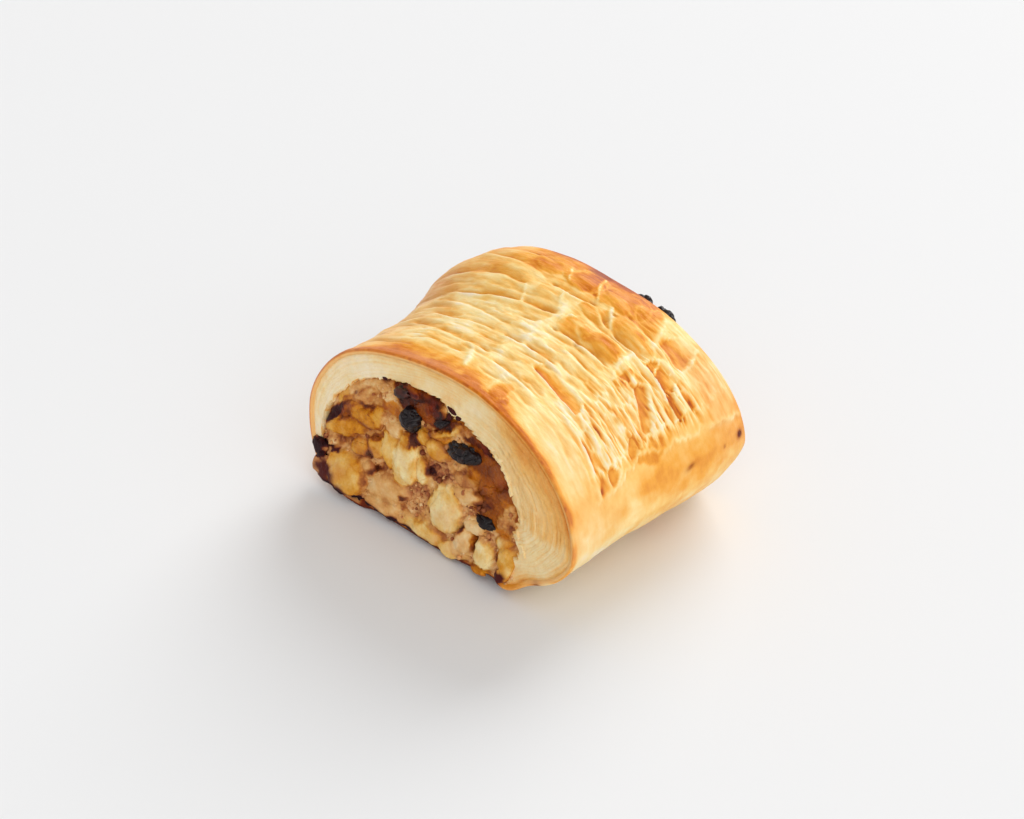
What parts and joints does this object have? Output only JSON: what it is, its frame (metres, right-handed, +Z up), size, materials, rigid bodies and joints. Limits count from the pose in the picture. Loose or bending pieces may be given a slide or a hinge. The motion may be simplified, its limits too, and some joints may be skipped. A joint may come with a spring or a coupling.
{
  "type": "apple strudel",
  "caption": "Thick cut of baked apple strudel: a scored, laminated golden pastry roll with a flat foot, open at both cuts onto chunky apple filling with raisins.",
  "frame": {"origin": "middle of the footprint box, on the surface the strudel rests on", "axes": "+X across the roll, +Y along the roll from its front cut to its back cut, +Z up"},
  "size_m": [0.1104, 0.0802, 0.0547],
  "materials": {
    "baked_pastry": "egg-washed baked puff pastry, satin golden crust with pale flaky cuts",
    "apple_filling": "moist cooked apple chunks in cinnamon crumb, glossy caramel in places",
    "raisin_skin": "wrinkled dark raisin skin, softly glossy"
  },
  "bodies": {
    "root": {"pastry": "baked_pastry", "filling": "apple_filling", "raisin_top": "raisin_skin", "raisin_round": "raisin_skin", "raisin_thin": "raisin_skin", "raisin_long": "raisin_skin", "raisin_low": "raisin_skin", "raisin_back_top": "raisin_skin", "raisin_back_rim": "raisin_skin", "raisin_back_left": "raisin_skin", "raisin_back_low": "raisin_skin"}
  },
  "joints": []
}
